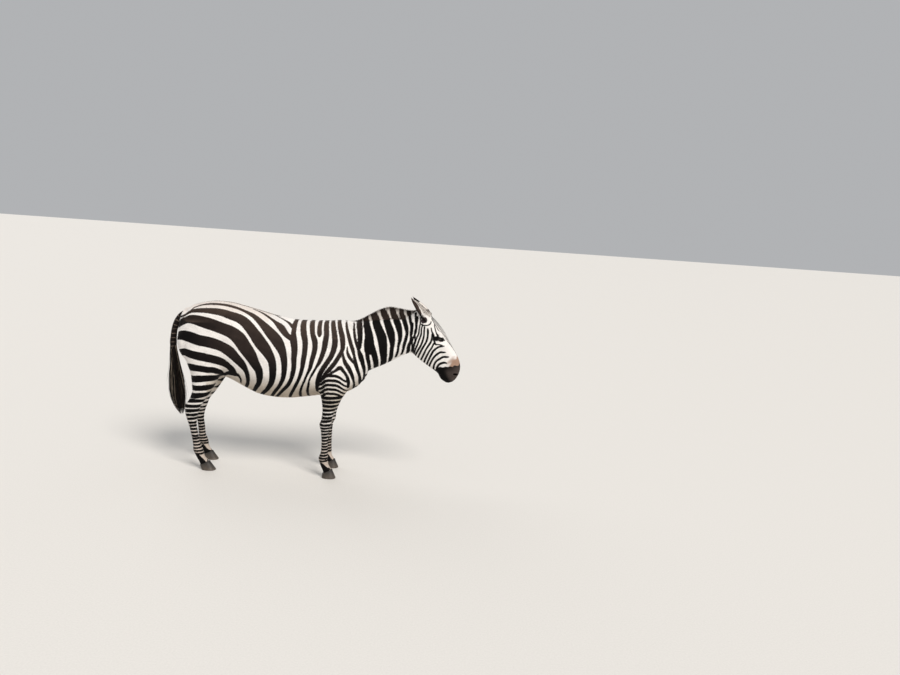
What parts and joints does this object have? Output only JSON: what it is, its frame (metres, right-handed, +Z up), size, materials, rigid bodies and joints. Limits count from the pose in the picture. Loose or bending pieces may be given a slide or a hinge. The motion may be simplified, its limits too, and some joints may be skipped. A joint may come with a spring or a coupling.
{
  "type": "plains zebra, standing, life-size still model",
  "caption": "Plains zebra standing square with a low neck and hanging head, a still life-size museum model.",
  "frame": {"origin": "on the floor under the middle of the whole model's length and width", "axes": "+X the way the zebra faces, +Y its left side, +Z up; the hooves stand on z = 0"},
  "size_m": [2.3322, 0.493, 1.4824],
  "materials": {
    "striped_hide": "short flat coat, cream white with brown-black stripes",
    "mane_hair": "stiff upright hair, striped as the neck, dark brown at the tips",
    "tail_hair": "long black hair with some white strands",
    "eye": "wet dark brown eye",
    "hoof_horn": "dusty grey-black horn with fine growth rings"
  },
  "bodies": {
    "root": {"head": "striped_hide", "neck": "striped_hide", "trunk": "striped_hide", "foreleg_left_upper": "striped_hide", "foreleg_left_lower": "striped_hide", "foreleg_right_upper": "striped_hide", "foreleg_right_lower": "striped_hide", "hindleg_left_upper": "striped_hide", "hindleg_left_lower": "striped_hide", "hindleg_right_upper": "striped_hide", "hindleg_right_lower": "striped_hide", "ear_left": "striped_hide", "ear_right": "striped_hide", "tail_dock": "striped_hide", "mane": "mane_hair", "tail_tuft": "tail_hair", "eye_left": "eye", "eye_right": "eye", "hoof_fore_left": "hoof_horn", "hoof_fore_right": "hoof_horn", "hoof_hind_left": "hoof_horn", "hoof_hind_right": "hoof_horn"}
  },
  "joints": []
}
